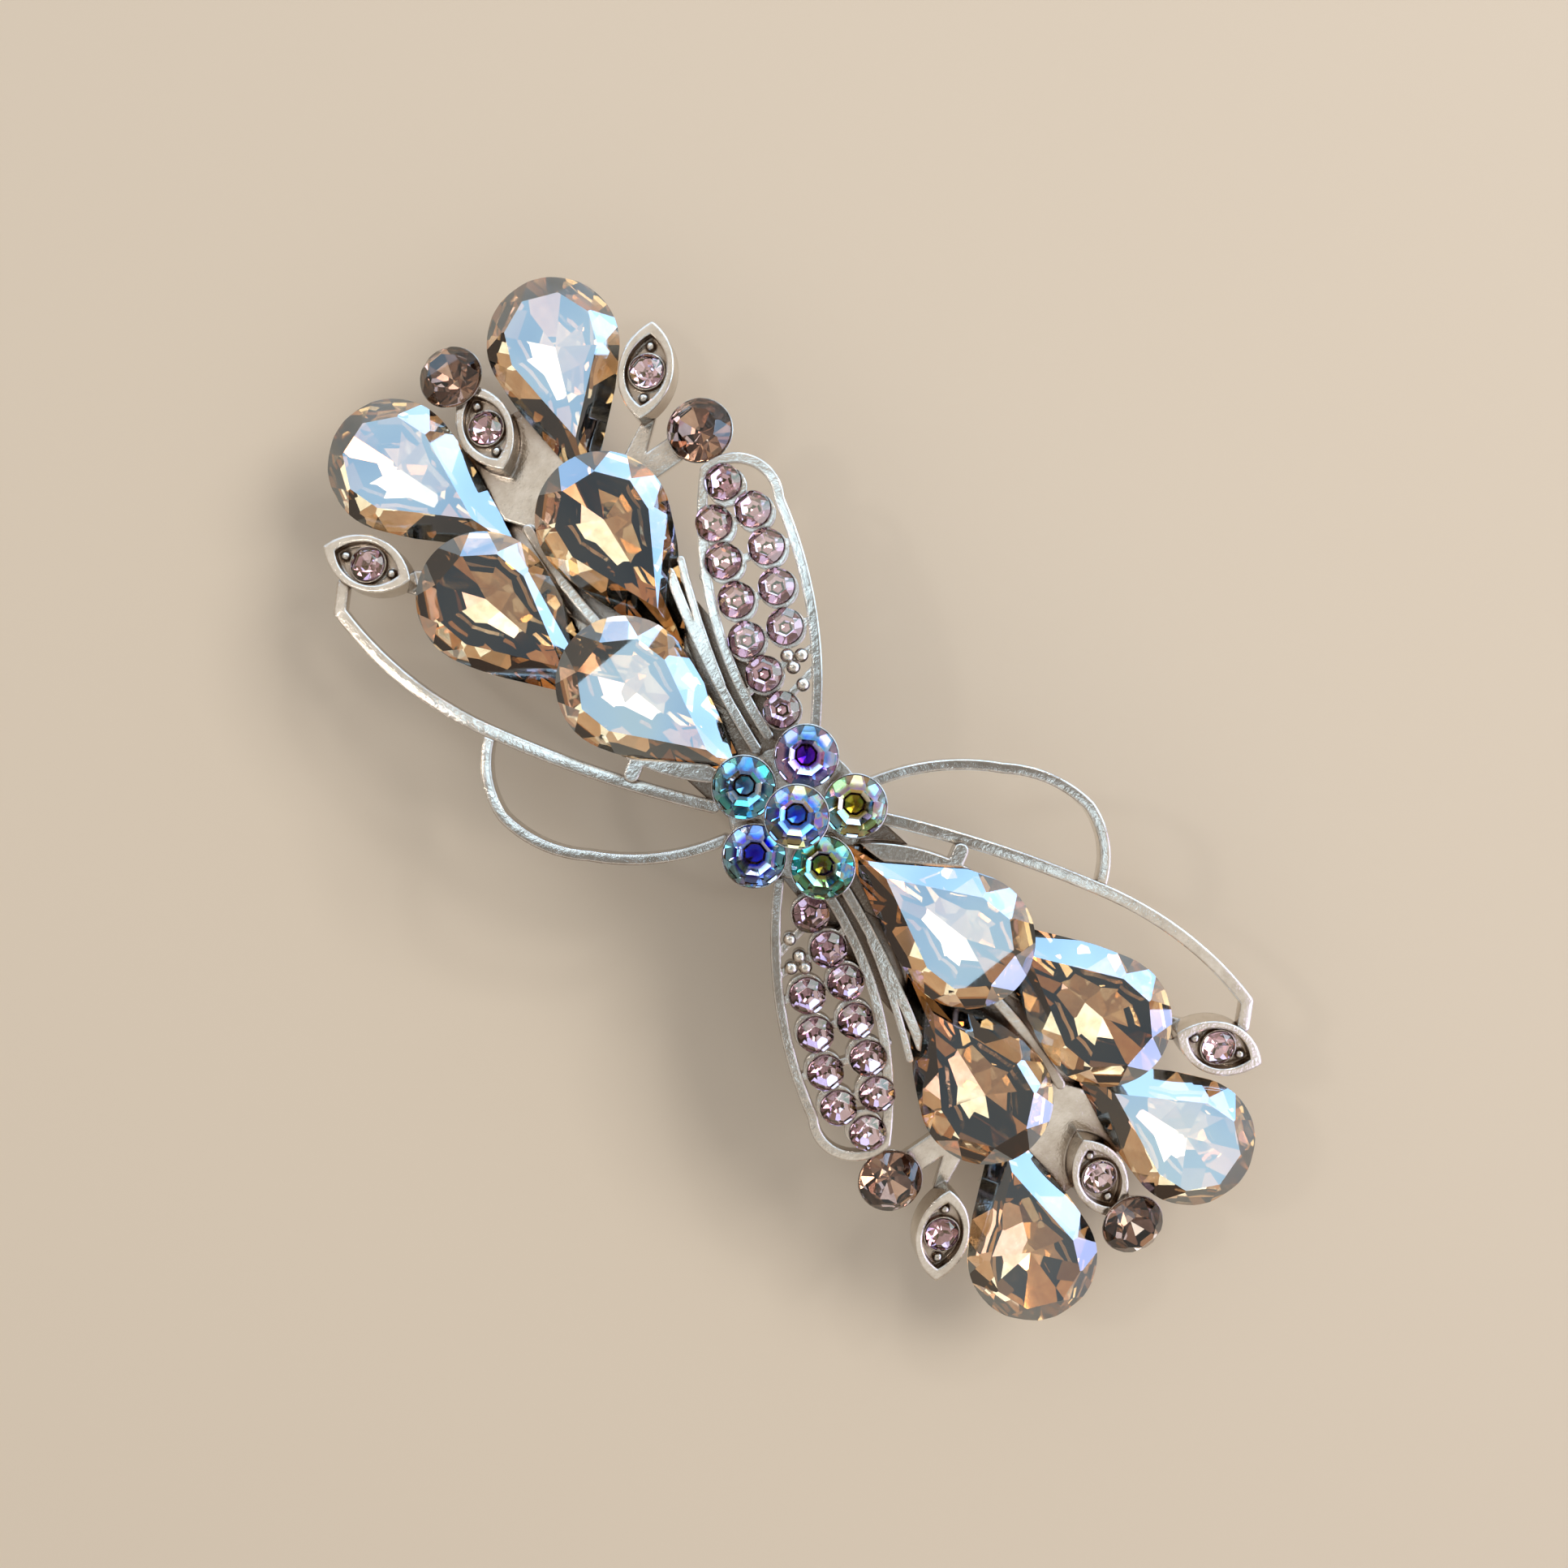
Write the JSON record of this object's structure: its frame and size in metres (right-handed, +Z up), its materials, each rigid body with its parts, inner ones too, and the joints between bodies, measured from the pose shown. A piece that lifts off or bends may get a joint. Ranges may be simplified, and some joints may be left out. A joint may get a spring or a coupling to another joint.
{
  "type": "rhinestone hair clip",
  "caption": "Hair clip: a flower and two sprays of faceted teardrop, round and pave glass stones on a sprung, hinged spring clip.",
  "frame": {"origin": "under the middle of the flower, on the surface the closed locking arm lies on", "axes": "+X along the clip towards its clasp, +Z up through the stones"},
  "size_m": [0.0706, 0.0288, 0.0167],
  "materials": {
    "clear_ab_glass": "polished",
    "champagne_ab_glass": "polished",
    "smoky_glass": "polished",
    "lilac_glass": "polished",
    "cast_alloy": "polished",
    "clip_steel": "satin",
    "spring_steel": "satin",
    "pin_steel": "polished"
  },
  "bodies": {
    "clip_base": {"base_bar": "clip_steel", "bow_rivets": "pin_steel", "clasp_rivet": "pin_steel", "clasp_web": "clip_steel", "flower_centre_stone": "clear_ab_glass", "flower_setting": "cast_alloy", "hinge_pin": "pin_steel", "leaf_stone_left_middle": "lilac_glass", "leaf_stone_left_wing": "lilac_glass", "leaf_stone_left_wire": "lilac_glass", "leaf_stone_right_middle": "lilac_glass", "leaf_stone_right_wing": "lilac_glass", "leaf_stone_right_wire": "lilac_glass", "outer_wire_left": "cast_alloy", "outer_wire_right": "cast_alloy", "petal_stone_1": "clear_ab_glass", "petal_stone_2": "clear_ab_glass", "petal_stone_3": "clear_ab_glass", "petal_stone_4": "clear_ab_glass", "petal_stone_5": "clear_ab_glass", "small_loop_left": "cast_alloy", "small_loop_right": "cast_alloy", "smoky_stone_left_end": "smoky_glass", "smoky_stone_left_wing": "smoky_glass", "smoky_stone_right_end": "smoky_glass", "smoky_stone_right_wing": "smoky_glass", "spray_left": "cast_alloy", "spray_right": "cast_alloy", "teardrop_left_end_wing": "champagne_ab_glass", "teardrop_left_end_wire": "champagne_ab_glass", "teardrop_left_inner": "champagne_ab_glass", "teardrop_left_mid_wing": "champagne_ab_glass", "teardrop_left_mid_wire": "champagne_ab_glass", "teardrop_right_end_wing": "champagne_ab_glass", "teardrop_right_end_wire": "champagne_ab_glass", "teardrop_right_inner": "champagne_ab_glass", "teardrop_right_mid_wing": "champagne_ab_glass", "teardrop_right_mid_wire": "champagne_ab_glass", "tension_bow": "spring_steel", "wing_left": "cast_alloy", "wing_right": "cast_alloy", "wing_stones_left_inner_row": "lilac_glass", "wing_stones_left_outer_row": "lilac_glass", "wing_stones_right_inner_row": "lilac_glass", "wing_stones_right_outer_row": "lilac_glass"},
    "locking_arm": {"locking_arm": "clip_steel"},
    "clasp_cheek_back": {"clasp_cheek_back": "clip_steel"},
    "clasp_cheek_front": {"clasp_cheek_front": "clip_steel"}
  },
  "joints": [
    {"name": "arm_hinge", "type": "hinge", "parent": "clip_base", "child": "locking_arm", "pos_m": [-0.0276, 0, 0.0015], "axis": [0, 1, 0], "range_deg": [0, 80]},
    {"name": "squeeze_back", "type": "hinge", "parent": "clip_base", "child": "clasp_cheek_back", "pos_m": [0.0275, 0.0036, 0.0033], "axis": [1, 0, 0], "range_deg": [0, 14], "stiffness_Nm_per_rad": 0.001},
    {"name": "squeeze_front", "type": "hinge", "parent": "clip_base", "child": "clasp_cheek_front", "pos_m": [0.0275, -0.0036, 0.0033], "axis": [-1, 0, 0], "range_deg": [0, 14]}
  ],
  "couplings": [
    {"joint": "squeeze_front", "follows": "squeeze_back", "ratio": 1}
  ]
}
